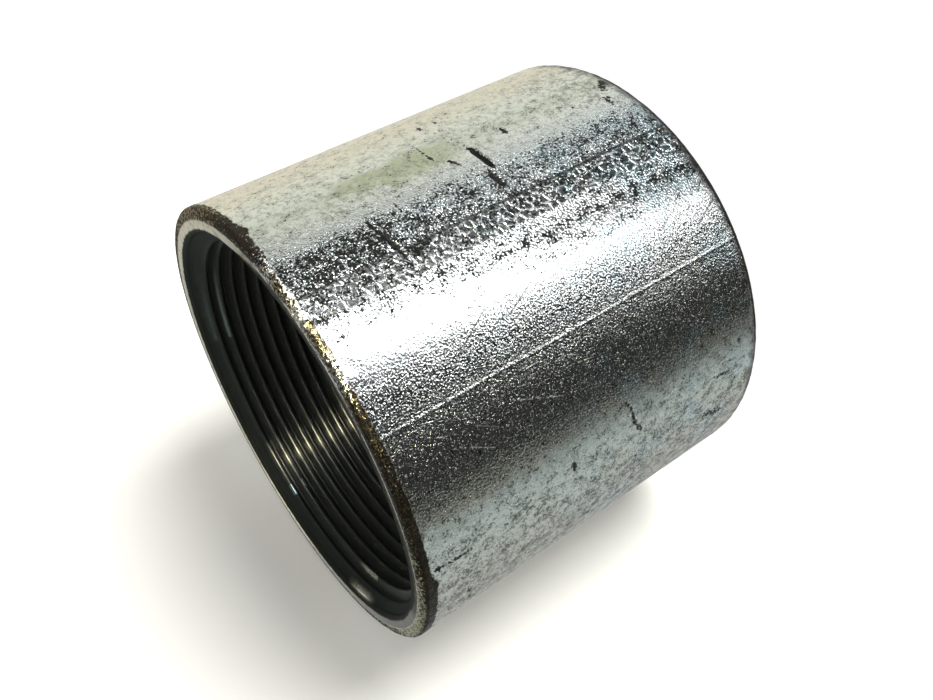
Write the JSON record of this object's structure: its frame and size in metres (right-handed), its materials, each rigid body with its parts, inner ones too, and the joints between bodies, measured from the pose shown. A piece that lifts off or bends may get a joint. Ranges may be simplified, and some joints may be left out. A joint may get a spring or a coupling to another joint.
{
  "type": "conduit coupling",
  "caption": "Straight sleeve coupling of zinc-coated steel for threaded conduit, with rounded ends and one internal thread from end to end.",
  "frame": {"origin": "centre of the lower end face, on the bore's axis", "axes": "+Z along the bore, from the end it stands on towards the other end; the sleeve is round about Z"},
  "size_m": [0.1016, 0.1016, 0.09],
  "materials": {
    "zinc_coat": "bright rough zinc coat, dark and oily in the threads"
  },
  "bodies": {
    "root": {"coupling_body": "zinc_coat"}
  },
  "joints": []
}
